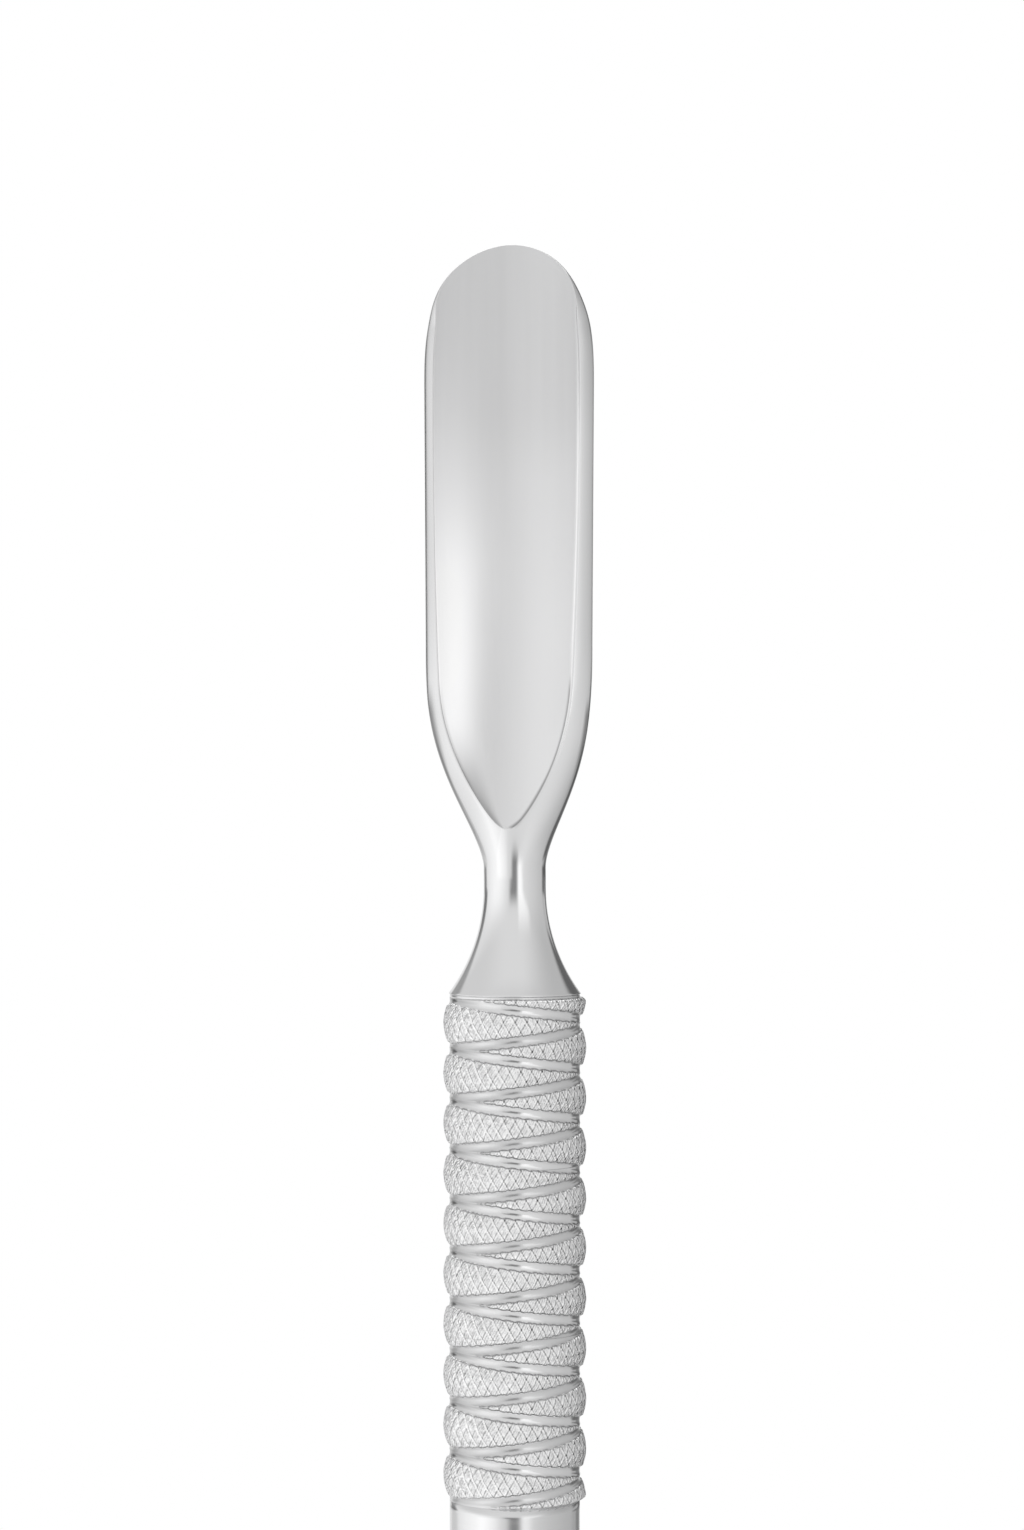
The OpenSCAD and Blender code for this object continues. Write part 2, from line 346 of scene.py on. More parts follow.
def knurl_steel():
    """Cut knurl with a fine hatch on its diamonds, beside polished grooves."""
    material, bench = finish("knurled_steel")
    groove, edge, rising = mark(bench, "groove"), mark(bench, "edge"), mark(bench, "rising")
    where = axes(bench)
    angle = where[1].sum("ARCTAN2", where[0])
    falling, climbing = knurl_lines(
        bench, angle, where[2], CREST_R, KNURL_LINES, KNURL_LEAN, KNURL_WANDER)
    patch = noise(bench, place(bench, (0.5, 0.5, 0.4)), 1.0, 1.0)
    grain = ((noise(bench, place(bench, (6, 6, 6)), 1.0, 2.0, 0.6) - 0.5) * 2.5 + 0.5).clamped()
    fine = (climbing * 4).to_line() * 2
    # Each stroke gets a painted highlight on its crest and painted shade at its foot; the right
    # side is painted lighter, with weaker highlights and darker shade
    right = where[0].ease(-1.5, 1.5)
    bright = falling.near(0, 0.14) * (1 - 0.6 * right) + 0.3 * climbing.near(0, 0.12)
    painted_shade = falling.near(0.17, 0.11) * (0.7 + 0.6 * right)
    painted_shade = painted_shade + (0.6 + 0.3 * right) * climbing.near(0.2, 0.12)
    land = 1 - groove
    relief = (fine * patch + bright * 0.4) * land + grain * (0.04 + 0.6 * land)
    roughness = 0.11 + 0.1 * rising + 0.17 * land + 0.03 * (grain - 0.5)
    cut = 0.78 - 0.1 * rising
    knurl = 0.78 + 0.12 * right + 0.55 * bright - 0.42 * painted_shade + 0.55 * (fine - 0.5) * patch
    knurl = knurl + 0.4 * (grain - 0.5)
    # Painted shade along the grooves' edges and where they cross
    base = (knurl + groove * (cut - knurl)).least(1) * (1 - (0.5 - 0.25 * rising) * edge)
    steel(bench, base, roughness, relief, 0.035)
    return material


def turned_steel():
    """The middle band as the lathe left it: fine rings, polished over."""
    material, bench = finish("turned_band_steel")
    rings = noise(bench, place(bench, (0.15, 0.15, 9)), 1.0, 3.0, 0.6)
    smear = noise(bench, place(bench, (0.5, 0.5, 2.5)), 1.0, 2.0)
    roughness = 0.16 + 0.12 * (rings - 0.5) + 0.06 * (smear - 0.5)
    where = axes(bench)
    # Painted shade: the band is darker toward its right side, +x
    base = (0.77 + 0.05 * (rings - 0.5)) * (1.02 - 0.15 * where[0].ease(-1, 3))
    steel(bench, base, roughness, rings, 0.0015)
    return material


def scraper_steel():
    """Polished shank, satin cheeks with strokes along them, and a bright ground end."""
    material, bench = finish("polished_scraper_steel")
    cheek, corner, ground = mark(bench, "cheek"), mark(bench, "corner"), mark(bench, "ground")
    strokes = noise(bench, place(bench, (8, 8, 0.15)), 1.0, 4.0, 0.6)
    cloud = noise(bench, place(bench, (0.4, 0.4, 0.2)), 1.0, 2.0)
    roughness = 0.14 + 0.14 * cheek * (1 - 0.5 * ground)
    roughness = roughness + 0.08 * (strokes - 0.5) + 0.06 * (cloud - 0.5)
    base = 0.79 - cheek * 0.16 * (1 - 0.7 * ground)
    base = base + 0.12 * cheek * (strokes - 0.5) + 0.12 * cheek * (cloud - 0.5)
    base = base * (1 - 0.3 * corner * cheek)
    steel(bench, base, roughness, strokes, 0.001)
    return material


# ---- Meshes -------------------------------------------------------------------
def ease(v):
    t = np.clip(v, 0, 1)
    return t * t * (3 - 2 * t)


def mix(a, b, t):
    return a + (b - a) * t


def between(h, foot, foot_run, top, top_run):
    """0 up to foot and from top on, easing to 1 over a run at each end."""
    return ease((h - foot) / foot_run) * ease((top - h) / top_run)


def skin(name, rings, material, closed=(True, True), marks=None):
    """A mesh through rings of points (rows, points, 3) in millimetres, capped at
    the closed ends, with its faces outward where the rings run upward."""
    rows, count = rings.shape[:2]
    index = np.arange(rows * count).reshape(rows, count)
    low, high = index[:-1], index[1:]
    quads = np.stack([low, np.roll(low, -1, 1), np.roll(high, -1, 1), high], 2)
    faces = quads.reshape(-1, 4).tolist()
    if closed[0]:
        faces.append(index[0, ::-1].tolist())
    if closed[1]:
        faces.append(index[-1].tolist())
    mesh = bpy.data.meshes.new(name)
    mesh.from_pydata((rings.reshape(-1, 3) * MM).tolist(), [], faces)
    mesh.polygons.foreach_set("use_smooth", [True] * len(mesh.polygons))
    for label, values in (marks or {}).items():
        layer = mesh.attributes.new(label, "FLOAT", "POINT")
        layer.data.foreach_set("value", np.asarray(values, np.float32).ravel())
    mesh.materials.append(material)
    mesh.update()
    return put(name, mesh)


def turned(rows, sides):
    """Rings of points from pairs of radius and height."""
    a = 2 * np.pi * np.arange(sides) / sides
    return np.array([[(r * math.cos(v), r * math.sin(v), z) for v in a] for r, z in rows])


def flare_radius(h):
    """Radius of flare and neck at height h above the handle's mouth."""
    run = FLARE_R - NECK_R
    curve = (FLARE_L ** 2 + run ** 2) / (2 * run)
    return NECK_R + curve - np.sqrt(curve ** 2 - np.clip(FLARE_L - h, 0, FLARE_L) ** 2)


def stem():
    """Radius and height of the spigot, the flare's lip and the flare, from the far end."""
    heights = FLARE_L * (np.arange(0, 61) / 60) ** 1.2
    rows = [(LEAST_R, -SPIGOT_L), (SPIGOT_R - SPIGOT_BEVEL, -SPIGOT_L),
            (SPIGOT_R, SPIGOT_BEVEL - SPIGOT_L), (SPIGOT_R, 0), (FLARE_R - LIP_R, 0)]
    return rows + [(flare_radius(h) - LIP_ROUND * math.exp(-h / LIP_ROUND), max(h, LIP_STEP))
                   for h in heights]


# ---- Pusher -------------------------------------------------------------------
def tip_share(h):
    left = np.clip((PUSHER_L - h) / TIP_L, 0, 1)
    return np.sqrt(np.maximum(0, 1 - (1 - left) ** TIP_POWER))


def half_width(h):
    u = np.clip((h - SHOULDER_TOP + SHOULDER_L) / SHOULDER_L, 0, 1)
    taper = np.clip((h - SHOULDER_TOP) / (TIP_FOOT - SHOULDER_TOP), 0, 1)
    full = mix(BASE_W, BLADE_W, taper) / 2
    return mix(NECK_R, full, (1 - (1 - u) ** SHOULDER_POWER) ** NECK_POWER) * tip_share(h)


def flank(h):
    rise = ease((TIP_FOOT - h) / (TIP_FOOT - BLADE_FOOT)) ** 2
    return mix(FLANK_T, NECK_R, rise) * tip_share(h)


def flatness(h):
    return ease((h - BLADE_FOOT) / (SHOULDER_TOP - BLADE_FOOT))


def set_forward(h):
    return -BLADE_SET * ease((h - BLADE_FOOT) / (SET_TOP - BLADE_FOOT))


HOLLOW_A = np.array([set_forward(HOLLOW_FOOT) - flank(HOLLOW_FOOT), HOLLOW_FOOT])
HOLLOW_B = np.array([-TIP_SET, PUSHER_L])
HOLLOW_CHORD = np.linalg.norm(HOLLOW_B - HOLLOW_A)
HOLLOW_AXIS = (HOLLOW_A + HOLLOW_B) / 2 + (
    math.sqrt(HOLLOW_RUN_R ** 2 - (HOLLOW_CHORD / 2) ** 2) / HOLLOW_CHORD
    * np.array([HOLLOW_A[1] - HOLLOW_B[1], HOLLOW_B[0] - HOLLOW_A[0]]))


def hollow_y(x, h):
    rho = HOLLOW_RUN_R - HOLLOW_R + np.sqrt(np.maximum(0, HOLLOW_R ** 2 - x * x))
    return HOLLOW_AXIS[0] + np.sqrt(rho ** 2 - (h - HOLLOW_AXIS[1]) ** 2)


def edge_y(h):
    rim = hollow_y(half_width(h) * math.cos(RIM_LEAST), h) + flank(h) * math.sin(RIM_LEAST)
    lip = (h - PUSHER_L + LIP_FOOT * TIP_L) / ((LIP_FOOT - LIP_TOP) * TIP_L)
    return mix(set_forward(h), rim, ease(lip))


def back_y(h):
    thick = EDGE_T * flatness(h) + mix(NECK_R, BACK_T, flatness(h))
    return mix(-TIP_SET, set_forward(h) + thick, tip_share(h))


def front_y(x, h):
    return edge_y(h) - flank(h) * np.sqrt(np.maximum(0, 1 - (x / half_width(h)) ** 2))


def rim_x(h):
    """Distance from the middle at which the hollow runs out of the front, by halving."""
    low, high = np.zeros_like(h), half_width(h) * math.cos(RIM_LEAST)
    for _ in range(24):
        middle = (low + high) / 2
        inside = hollow_y(middle, h) > front_y(middle, h)
        low, high = np.where(inside, middle, low), np.where(inside, high, middle)
    return (low + high) / 2


def blade_marks(h, w, rim, rim_a, reach, rise):
    """How much painted shade darkens each place of the blade, or how much a painted
    glint brightens it where it is below 0: the left limb, both sides of the left
    rim, the bowl beside its rim, the right rim and the right limb. A limb is the
    flank's outer edge, and heights h count from the handle's mouth."""
    line = 0.12
    lean = rim_a * rise
    inward = w * (1 - np.cos(lean))
    shoulder, flat = between(h, 6.5, 2, 16.5, 2), between(h, 15, 3, 36, 3)
    waist = between(h, BLADE_FOOT, 0.5, 8.2, 1.4)
    spread = 0.15 + 0.27 * ease((h - 10.5) / 3)
    # Painted shade along the left limb
    left_limb_shade = (flat * (0.3 + 0.12 * ease((h - 22) / 4)) * (1 - ease((lean - 0.13) / 0.27))
                 + 0.5 * shoulder * ease((lean - 0.08) / 0.18) * (1 - ease((inward - 0.2) / spread))
                 + 0.06 * shoulder
                 + (0.04 + 0.04 * ease((h - 18) / 5)) * between(h, 11, 3, 36, 4)
                 + 0.25 * waist * (1 - ease((lean - 0.4) / 0.2)))
    # Painted shade along the right limb
    painted_shade = (0.22 + 0.36 * ease((h - 9.5) / 3.5)) * between(h, 6.5, 2, 15.6, 1.2)
    right_limb_shade = (painted_shade * (1 - ease((inward - 0.06) / (0.11 + 0.04 * ease((12 - h) / 2))))
                  + 0.5 * waist * (1 - ease(lean / 0.15 - 0.9))
                  + 0.1 * between(h, 28, 5, 38, 2))

    # Painted shade and a painted glint beside the hollow's rim, in lines' widths from it
    outside, inside = (w * np.cos(lean) - rim) / line, rim * (1 - abs(reach)) / line
    ground, glint = ease((h - HOLLOW_FOOT) / 0.6), ease((37 - h) / 10)
    left_edge_shade = (0.02 + 0.22 * shoulder * ease((h - 9.3) / 2)) * ground
    left_rim_shade = left_edge_shade * (1 - ease(outside))
    right_rim_glint = -0.36 * ease((h - 11) / 3) * glint * (1 - ease(outside))
    cut_shade_and_glint = 0.6 * between(h, HOLLOW_FOOT, 0.15, 16.8, 1.2) - 0.25 * ease((h - 16) / 3) * glint
    cut_width = 1 + 0.8 * ease((12 - h) / 2) + 1.5 * ease((9.2 - h) / 0.5)
    bowl_rim_shade_and_glint = np.where(reach > -0.2, cut_shade_and_glint * (1 - ease(inside / cut_width)),
                        left_edge_shade * (1 - ease(inside * 0.8))
                        + 0.13 * ground * ease((13 - h) / 2) * (1 - ease(inside / 3)))
    return left_limb_shade, left_rim_shade, bowl_rim_shade_and_glint, right_rim_glint[:, ::-1], right_limb_shade[:, ::-1]


def pusher(material):
    """Spigot, flare, neck and blade in one skin, round its section from the right
    edge over the back, and home across the left flank, the hollow and the right flank."""
    back_n, side_n, flank_n, hollow_n = 56, 3, 12, 96
    neck_n, shoulder_n, body_n, tip_n = 28, 110, 50, 80
    heights = np.concatenate([
        mix(BLADE_FOOT, HOLLOW_FOOT, np.arange(0, neck_n) / neck_n),
        mix(HOLLOW_FOOT, SHOULDER_TOP, (np.arange(0, shoulder_n) / shoulder_n) ** 1.3),
        mix(SHOULDER_TOP, TIP_FOOT, np.arange(0, body_n) / body_n),
        PUSHER_L - APEX - (TIP_L - APEX) * (1 - np.arange(0, tip_n + 1) / tip_n) ** 1.8])
    h = heights[:, None]
    w, e, f, flat = half_width(h), edge_y(h), flank(h), flatness(h)
    step = EDGE_T * flat * tip_share(h)
    rim = np.where(h > HOLLOW_FOOT, np.maximum(RIM_W_LEAST, rim_x(h)),
                   mix(RIM_W_LEAST, w * math.cos(RIM_LEAST) / 2,
                       np.clip((HOLLOW_FOOT - h) / (HOLLOW_FOOT - BLADE_FOOT), 0, 1)))
    rim_a = np.arccos(np.clip(rim / w, -1, 1))
    bevel = np.minimum(RIM_BEVEL / np.maximum(w, 0.2), rim_a / 3)

    a = np.pi * np.arange(0, back_n + 1) / back_n
    over = (w * np.cos(a), e + step + (back_y(h) - e - step) * np.sin(a), 0 * a)
    t = np.arange(1, side_n) / side_n
    side = (-w + 0 * t, e + step * (1 - t), 0 * t)
    t = np.arange(0, flank_n + 1) / flank_n
    a = (rim_a - bevel) * t
    left = (-w * np.cos(a), e - f * np.sin(a), 0 * t)
    x = (rim - np.minimum(RIM_BEVEL, rim / 4)) * (2 * np.arange(0, hollow_n + 1) / hollow_n - 1)
    cut = np.where(h > HOLLOW_FOOT, hollow_y(x, h), -99)
    front = front_y(x, h)
    bowl = (x, np.maximum(cut, front), ease((cut - front) / RIM_BLEND))
    right = (w * np.cos(a[:, ::-1]), e - f * np.sin(a[:, ::-1]), 0 * t)
    t = np.arange(1, side_n) / side_n
    home = (w + 0 * t, e + step * t, 0 * t)
    parts = (over, side, left, bowl, right, home)

    def across(rows):
        """One array over all parts of the section from a row for each part."""
        return np.concatenate([np.broadcast_to(row, (len(heights), part[0].shape[-1]))
                               for row, part in zip(rows, parts)], 1)

    x, y, hollow = (across([part[i] for part in parts]) for i in range(3))
    blade = np.stack([x, y, np.broadcast_to(h, x.shape)], 2)
    reach = np.arange(0, hollow_n + 1) * 2 / hollow_n - 1
    rise = np.arange(0, flank_n + 1) / flank_n
    left_limb_shade, left_rim_shade, bowl_rim_shade_and_glint, right_rim_glint, right_limb_shade = blade_marks(
        h, w, rim, rim_a, reach, rise)
    # These marks carry painted shade along the flanks' outer edges, and painted shade and painted
    # glints beside the hollow's rim
    marks = {
        "hollow": hollow,
        "across": across([0, 0, 0, reach, 0, 0]),
        "back": across([1, 0, 0, 0, 0, 0]),
        "rim": across([0, 0, left_rim_shade, bowl_rim_shade_and_glint, right_rim_glint, 0]),
        "limb_shade": across([0, left_limb_shade[:, :1], left_limb_shade, 0, right_limb_shade, right_limb_shade[:, -1:]])}

    ray = blade[0, :, :2] / np.linalg.norm(blade[0, :, :2], axis=1)[:, None]
    rows = stem() + [(NECK_R, FLARE_L + 0.15)]
    foot = np.array([[(r * p[0], r * p[1], z) for p in ray] for r, z in rows])
    rings = np.concatenate([foot, blade])
    rings[:, :, 2] += HANDLE_HALF
    plain = np.zeros(foot.shape[:2])
    marks = {key: np.concatenate([plain, value]) for key, value in marks.items()}
    marks["height"] = rings[:, :, 2] - HANDLE_HALF
    return skin("pusher", rings, material, marks=marks)


# ---- Handle -------------------------------------------------------------------
def zone_tree():
    """Geometry nodes for a length of a knurled zone: a tube whose surface carries
    the knurl, and through it a right-hand and a left-hand groove that cross."""
    tree = bpy.data.node_groups.new("grooved_knurl", "GeometryNodeTree")
    bench = Bench(tree)
    sizes = [("Low", 0.0), ("Length", 13.0), ("Zone Foot", BAND_HALF), ("Zone Length", ZONE_L),
             ("Band Radius", BAND_R), ("Crest Radius", CREST_R), ("Groove Width", GROOVE_W),
             ("Wall Width", WALL_W), ("Pitch", PITCH), ("Cross Angle", CROSS_ANGLE),
             ("Run Out", RUN_OUT), ("Rim", RIM_L), ("Knurl Lines", KNURL_LINES),
             ("Knurl Lean", KNURL_LEAN), ("Knurl Depth", KNURL_DEPTH),
             ("Knurl Wander", KNURL_WANDER), ("Ragged Edge", RAGGED_EDGE),
             ("Crossing", CROSSING)]
    counts = [("Sides", 384), ("Rows", 250)]
    add = tree.interface.new_socket
    for kind, values in (("NodeSocketFloat", sizes), ("NodeSocketInt", counts)):
        for name, value in values:
            add(name, in_out="INPUT", socket_type=kind).default_value = value
    add("Finish", in_out="INPUT", socket_type="NodeSocketMaterial")
    add("Geometry", in_out="OUTPUT", socket_type="NodeSocketGeometry")
    ask = bench.node("NodeGroupInput")

    tube = bench.node("GeometryNodeMeshCylinder", {
        "Vertices": ask["Sides"], "Side Segments": ask["Rows"],
        "Radius": 1.0, "Depth": ask["Length"]}, fill_type="NGON")
    spot = bench.node("ShaderNodeSeparateXYZ", {0: bench.node("GeometryNodeInputPosition")[0]})
    z = spot[2] + ask["Low"] + ask["Length"] * 0.5
    angle = spot[1].sum("ARCTAN2", spot[0])
    up = abs(z) - ask["Zone Foot"]
    turn = (angle - ask["Cross Angle"]) / (2 * math.pi)
    climb = up / ask["Pitch"]
    falling, rising = (climb + turn).to_line(), (climb - turn).to_line()
    away = falling.least(rising) * ask["Pitch"]

    falling_strokes, climbing_strokes = knurl_lines(
        bench, angle, z, ask["Crest Radius"],
        ask["Knurl Lines"], ask["Knurl Lean"], ask["Knurl Wander"])
    chatter = noise(bench, bench.node("ShaderNodeCombineXYZ", {
        0: spot[0] * 3.5, 1: spot[1] * 3.5, 2: z})[0], 2.5, 2.0) - 0.5
    one = falling_strokes.to_line() * 2
    other = climbing_strokes.to_line() * 2
    tooth = (one * 2).least(other * 2 + 0.25 + 0.3 * chatter).clamped()
    ragged = away + (tooth - 0.6) * ask["Ragged Edge"]
    half = ask["Groove Width"] * 0.5
    foot = half + ask["Wall Width"]
    across = ((away - foot) / (ask["Pitch"] * 0.5 - foot)).clamped()
    crown = LAND_SHOULDER + (1 - LAND_SHOULDER) * (1 - (1 - across) ** LAND_POWER)
    channel = GROOVE_RISE * (away / half).least(1) ** 2
    climbed = ((ragged - half) / ask["Wall Width"]).clamped()

    full = ask["Crest Radius"] - ask["Band Radius"]
    bite = (1 - tooth) * ask["Knurl Depth"] / full * (0.6 + 0.4 * across.ease(0, 0.2))
    land = crown - bite * (1 + chatter)
    fade = (up.least((ask["Zone Length"] + ask["Rim"] - up) * 0.5) / ask["Run Out"]).ease(0, 1)
    relief = channel + climbed * (land - channel)
    radius = ask["Band Radius"] + relief.most(0) * fade * full
    # Painted shade along the grooves' edges, and a painted shade spot where they cross
    edge = (1 - abs(ragged - half - ask["Wall Width"] * 0.4) / 0.07).most(0) * (0.6 + chatter)
    crossing_shade = 1 - (falling + rising) * ask["Pitch"] / ask["Crossing"]
    edge = edge.most(crossing_shade * 1.3).clamped()

    body = tube["Mesh"]
    for name, value in (("groove", 1 - climbed * fade), ("edge", edge * fade),
                        ("rising", ((falling - rising) * 20 + 0.5).clamped())):
        body = bench.node("GeometryNodeStoreNamedAttribute", {
            "Geometry": body, "Name": name, "Value": value},
            data_type="FLOAT", domain="POINT")["Geometry"]
    moved = bench.node("GeometryNodeSetPosition", {
        "Geometry": body,
        "Position": bench.node("ShaderNodeCombineXYZ", {
            0: angle.sum("COSINE") * radius * MM, 1: angle.sum("SINE") * radius * MM,
            2: z * MM})[0]})
    smooth = bench.node("GeometryNodeSetShadeSmooth", {"Geometry": moved["Geometry"]})
    whole = bench.node("GeometryNodeRealizeInstances", {"Geometry": smooth["Geometry"]})
    dressed = bench.node("GeometryNodeSetMaterial", {
        "Geometry": whole["Geometry"], "Material": ask["Finish"]})
    bench.node("NodeGroupOutput", {"Geometry": dressed["Geometry"]})
    return tree


def grown(name, tree, **inputs):
    """The plain mesh that a geometry tree makes with these inputs."""
    seed = put(name + "_seed", bpy.data.meshes.new(name + "_seed"))
    growth = seed.modifiers.new("growth", "NODES")
    growth.node_group = tree
    for item in tree.interface.items_tree:
        key = item.name.replace(" ", "_").lower()
        if item.in_out == "INPUT" and key in inputs:
            growth[item.identifier] = inputs[key]
    graph = bpy.context.evaluated_depsgraph_get()
    mesh = bpy.data.meshes.new_from_object(
        seed.evaluated_get(graph), preserve_all_data_layers=True, depsgraph=graph)
    mesh.name = name
    seed.modifiers.remove(growth)
    bpy.data.objects.remove(seed)
    return put(name, mesh)


def handle_core(material):
    """The tube's inside and its plain middle band, which the knurled zones adjoin."""
    rows = [(BORE_R, -HANDLE_HALF), (BAND_R - MOUTH_EDGE, -HANDLE_HALF),
            (BAND_R, MOUTH_EDGE - HANDLE_HALF), (BAND_R, RIM_L - HANDLE_HALF),
            (BAND_R - CORE_DROP, RIM_L - HANDLE_HALF + CORE_STEP),
            (BAND_R - CORE_DROP, -BAND_HALF - CORE_STEP), (BAND_R, -BAND_HALF)]
    rows += [(BAND_R, v) for v in np.linspace(-BAND_HALF, BAND_HALF, 29)[1:-1]]
    rows += [(r, -z) for r, z in rows[6::-1]]
    rings = turned(rows, 256)
    return skin("handle_core", np.concatenate([rings, rings[:1]]), material, closed=(False, False))


# ---- Scraper ------------------------------------------------------------------
def scraper(material):
    """Spigot, flare and shank forged into a flat blade with a slanted cutting edge."""
    sides = 96
    a = 2 * np.pi * np.arange(sides) / sides
    rows = stem() + [(NECK_R, v) for v in np.linspace(FLARE_L + 0.2, SHANK_L - 0.2, 12)]
    rings = turned(rows, sides).tolist()
    cheeks, corners = [np.zeros(sides) for _ in rows], [np.zeros(sides) for _ in rows]
    foot = SHANK_L + FORGE_L
    forging, blade = np.linspace(SHANK_L, foot, 28), np.linspace(foot + 0.3, SCRAPER_L, 60)
    for z in np.concatenate([forging, blade]):
        share = ease((z - SHANK_L) / FORGE_L)
        run = np.clip((z - foot) / (SCRAPER_L - foot), 0, 1)
        wide = mix(NECK_R, mix(SCRAPER_W, SCRAPER_TIP_W, run) / 2, share if z < foot else 1)
        thick = mix(NECK_R, SCRAPER_T / 2, share)
        power = mix(2, 9, share)
        c, s = np.cos(a), np.sin(a)
        x = wide * np.sign(c) * abs(c) ** (2 / power)
        y = thick * np.sign(s) * abs(s) ** (2 / power)
        rings.append(np.stack([x, y, np.full(sides, z)], 1).tolist())
        cheeks.append(np.full(sides, share))
        corners.append(share * ease((np.minimum(abs(x) / wide, abs(y) / thick) - 0.82) / 0.08))
    rings = np.array(rings)

    # The end is cut on a slant, and ground away behind the cutting edge
    drop = (rings[:, :, 0] + SCRAPER_TIP_W / 2) * math.tan(EDGE_SLOPE)
    run = np.clip((rings[:, :, 2] - foot) / (SCRAPER_L - foot), 0, 1)
    rings[:, :, 2] -= drop * ease(run)
    back = np.clip((SCRAPER_L - drop - rings[:, :, 2]) / BEVEL_L, 0, 1)
    ground = mix(SCRAPER_EDGE_T - SCRAPER_T / 2, SCRAPER_T / 2, back)
    flat = rings[:, :, 2] > foot
    rings[:, :, 1] = np.where(flat, np.minimum(rings[:, :, 1], ground), rings[:, :, 1])
    rings[:, :, 2] = -rings[:, :, 2] - HANDLE_HALF
    marks = {"cheek": np.array(cheeks)[::-1], "corner": np.array(corners)[::-1],
             "ground": np.where(flat, 1 - ease((back - 0.97) / 0.03), 0)[::-1]}
    return skin("scraper", rings[::-1], material, marks=marks)


# ---- The tool -----------------------------------------------------------------
def carry(piece, node):
    """Puts a piece in a node's place: parents it to the root body and hides the node's solid."""
    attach(piece, "root")
    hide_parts(node)


knurled, band, blade, polished = knurl_steel(), turned_steel(), blade_steel(), scraper_steel()
carry(pusher(blade), "pusher_head")
carry(scraper(polished), "scraper_head")
carry(handle_core(band), "handle_tube")
grooved = zone_tree()
for zone, foot in (("upper", BAND_HALF), ("lower", -BAND_HALF - ZONE_L)):
    for part in range(LENGTHS):
        length = ZONE_L / LENGTHS
        carry(grown(f"{zone}_knurl_{part + 1}", grooved, low=foot + part * length, length=length,
                    finish=knurled), "handle_tube")


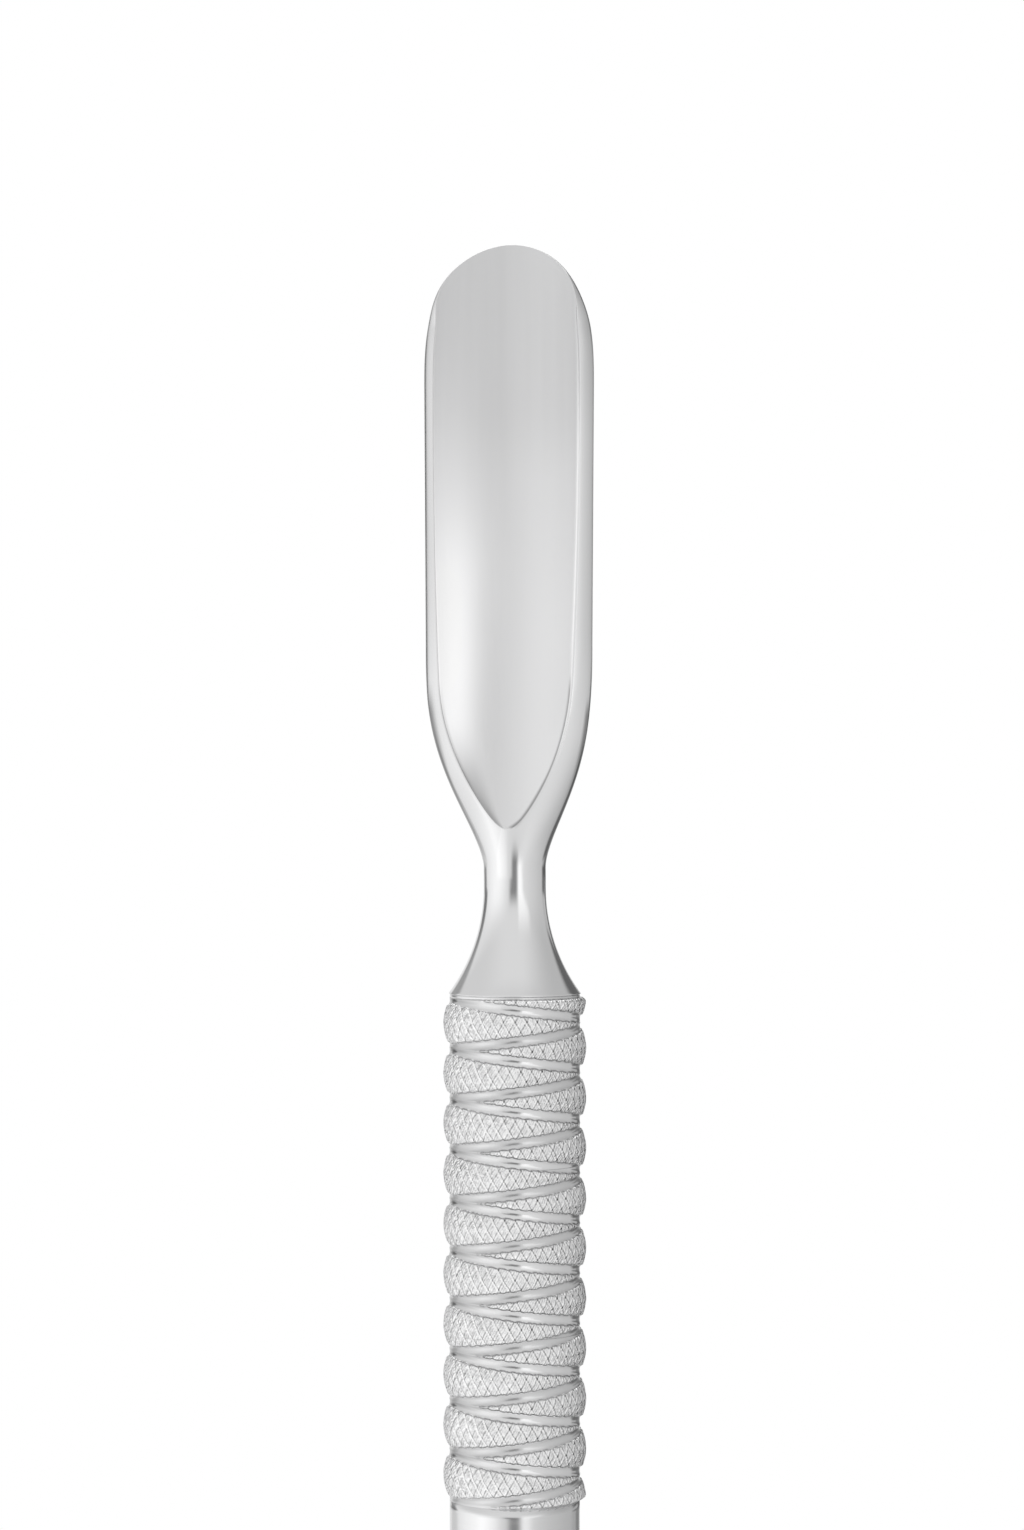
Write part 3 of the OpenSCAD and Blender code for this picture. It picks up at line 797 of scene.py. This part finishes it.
# ---- Studio -------------------------------------------------------------------
def studio_light():
    """White walls with gaps between the soft boxes, which give the steel its dark
    lines. Angles run round the tool from the front, with the viewer's side at 0."""
    world = bpy.data.worlds.new("studio")
    bpy.context.scene.world = world
    world.use_nodes = True
    bench = Bench(world.node_tree)
    ray = bench.node("ShaderNodeTexCoord")["Generated"]
    side = (math.cos(VIEW_TURN), math.sin(VIEW_TURN), 0)
    front = (math.sin(VIEW_TURN), -math.cos(VIEW_TURN), 0)

    def along(axis):
        """How far the ray runs along an axis."""
        return bench.node("ShaderNodeVectorMath", {0: ray, 1: axis},
                          operation="DOT_PRODUCT")["Value"]

    turn = along(side).sum("ARCTAN2", along(front)) / (2 * math.pi) + 0.5
    rise = along((0, 0, 1))
    walls = [(-180, 0.9), (-150, 0.85), (-118, 0.95), (-100, 1.06), (-80, 1.15), (-58, 1.12),
             (-42, 1.0), (-30, 0.88), (-20, 0.82), (8, 0.84), (20, 0.88), (30, 0.88), (45, 0.82),
             (62, 0.76), (85, 0.7), (100, 0.65), (120, 0.62), (150, 0.75), (180, 0.9)]
    wall = bench.node("ShaderNodeValToRGB", {"Fac": turn},
                      stops=[(v / 360 + 0.5, level) for v, level in walls])["Color"]
    level = bench.node("ShaderNodeSeparateColor", {0: wall})[0]
    degrees = (turn - 0.5) * 360

    # Roof and ground
    drop = rise * -1
    right = degrees.ease(15, 110)
    roof = rise.ease(0.02, 0.38)
    left = (degrees * -1).ease(20, 100)
    top = 0.84 - 0.28 * right - 0.09 * left * rise.ease(0.3, 0.5) - 0.12 * rise.ease(0.8, 1)
    level = level + roof * (top - level)
    ground = drop.ease(0.35, 0.6)
    level = level + ground * (0.86 - 0.3 * right - 0.25 * drop.ease(0.6, 0.95) - level)

    # A bright strip right of the middle, and a dark slit left of it
    spread = 24 * rise.ease(-0.04, 0.25)
    strip = degrees.ease(9, 16) * (1 - (degrees - spread).ease(19, 36)) * (1 - drop.ease(0.15, 0.3))
    strip = strip * (1 - 0.25 * rise.ease(0, 0.15)) * (1 - rise.ease(0.15, 0.5))
    low = drop.ease(0.035, 0.06)
    level = level * (1 + 0.13 * low * degrees.ease(-80, -60) * (1 - degrees.ease(-35, -20)))
    band = drop.ease(0.165, 0.18)
    slit = (degrees - 8 * low).ease(-26, -12) * (1 - degrees.ease(3, 13))
    slit = slit * (1 - drop.ease(0.16, 0.34)) * (1 - rise.ease(0, 0.22))

    # Dark gaps on both sides, behind the tool, weaker where calm is high
    shift = rise.ease(0.05, 0.3)
    neck = drop.band(0.01, 0.025, 0.03, 0.2)
    far, near = degrees + 10 * shift + 8 * neck, degrees - 6 * shift
    outer = near - 12 * (shift + neck)
    sides = far.band(-153, -144, -127, -118) + near.ease(116, 130) * (1 - outer.ease(156, 168))
    line = near.band(134, 143, 157, 166)
    calm = 0.75 * drop.ease(0.02, 0.15) * (1 - drop.ease(0.19, 0.26)) * (1 - 0.75 * line)
    calm = calm + 0.3 * shift * left
    level_with_blade = rise.band(-0.012, 0.01, 0.14, 0.2)
    calm = calm.most(0.75 * degrees.ease(0, 90) * (1 - degrees.ease(142, 150)) * level_with_blade)
    calm = calm.most(0.6 * left * drop.ease(0, 0.1))
    sides = sides * (1 - calm) * (1 - drop.ease(0.4, 0.7)) * (1 - rise.ease(0.4, 0.7))
    level = (level + 0.36 * strip) * (1 - (0.68 + 0.12 * band) * slit) * (1 - 0.76 * sides)

    # The camera sees plain white, and the tool mirrors the walls
    seen = bench.node("ShaderNodeLightPath")
    level = level + seen["Is Camera Ray"] * (1 - level)
    plain = bench.node("ShaderNodeBackground", {"Color": (1, 1, 1, 1), "Strength": 0.85})
    grey = bench.node("ShaderNodeCombineColor", {0: level, 1: level, 2: level})[0]
    shown = bench.node("ShaderNodeBackground", {"Color": grey, "Strength": 1.0})
    looked_at = seen["Is Camera Ray"].most(seen["Is Glossy Ray"]).most(seen["Is Transmission Ray"])
    sky = bench.node("ShaderNodeMixShader", {0: looked_at, 1: plain[0], 2: shown[0]})
    bench.node("ShaderNodeOutputWorld", {"Surface": sky[0]})


def floor():
    """A pale round floor that fades into the white around it and keeps the shadow."""
    rings = turned([(r, LOWEST / MM - FLOOR_GAP) for r in (2, 15, 30, 45, FLOOR_R)], 96)
    material, bench = finish("pale_floor")
    where = bench.node("ShaderNodeTexCoord")["Object"]
    flat = bench.node("ShaderNodeVectorMath", {0: where, 1: (1, 1, 0)},
                      operation="MULTIPLY")["Vector"]
    away = bench.node("ShaderNodeVectorMath", {0: flat}, operation="LENGTH")["Value"]
    paint = bench.node("ShaderNodeBsdfPrincipled", {
        "Base Color": (0.88, 0.88, 0.88, 1), "Roughness": 0.7})
    white = bench.node("ShaderNodeEmission", {"Color": (1, 1, 1, 1), "Strength": 1.0})
    surface = bench.node("ShaderNodeMixShader", {
        0: (away / MM).ease(20, FLOOR_R - 5), 1: paint[0], 2: white[0]})
    bench.node("ShaderNodeOutputMaterial", {"Surface": surface[0]})
    skin("floor", rings[::-1], material, closed=(False, True))


def soft_box(name, turn, rise, distance, size, power):
    """A lamp that looks at the tool's middle from an angle round it and a rise, in degrees."""
    lamp = bpy.data.lights.new(name, "AREA")
    lamp.shape, lamp.size, lamp.size_y, lamp.energy = "RECTANGLE", size[0], size[1], power
    box = put(name, lamp)
    round_, up = math.radians(turn) + VIEW_TURN, math.radians(rise)
    box.location = (distance * math.cos(up) * math.sin(round_),
                    -distance * math.cos(up) * math.cos(round_), distance * math.sin(up))
    box.rotation_euler = (math.pi / 2 - up, 0, round_)


def camera():
    """On a level with the pusher's neck, a little to the right of the front."""
    lens = bpy.data.cameras.new("viewer")
    sensor, distance, tall, height, aside = 36, 0.21, 0.08, 45.34 * MM, -0.146 * MM
    lens.type, lens.sensor_width, lens.sensor_fit, lens.clip_start = "PERSP", sensor, "AUTO", 0.01
    lens.lens = sensor * distance / tall
    viewer = put("viewer", lens)
    viewer.location = (distance * math.sin(VIEW_TURN) + aside * math.cos(VIEW_TURN),
                       -distance * math.cos(VIEW_TURN) + aside * math.sin(VIEW_TURN), height)
    viewer.rotation_euler = (math.pi / 2, 0, VIEW_TURN)
    bpy.context.scene.camera = viewer


camera()
studio_light()
floor()
soft_box("overhead", 180, 70, 0.9, (1.0, 1.0), 3.8)
bpy.context.scene.view_settings.view_transform = "Standard"
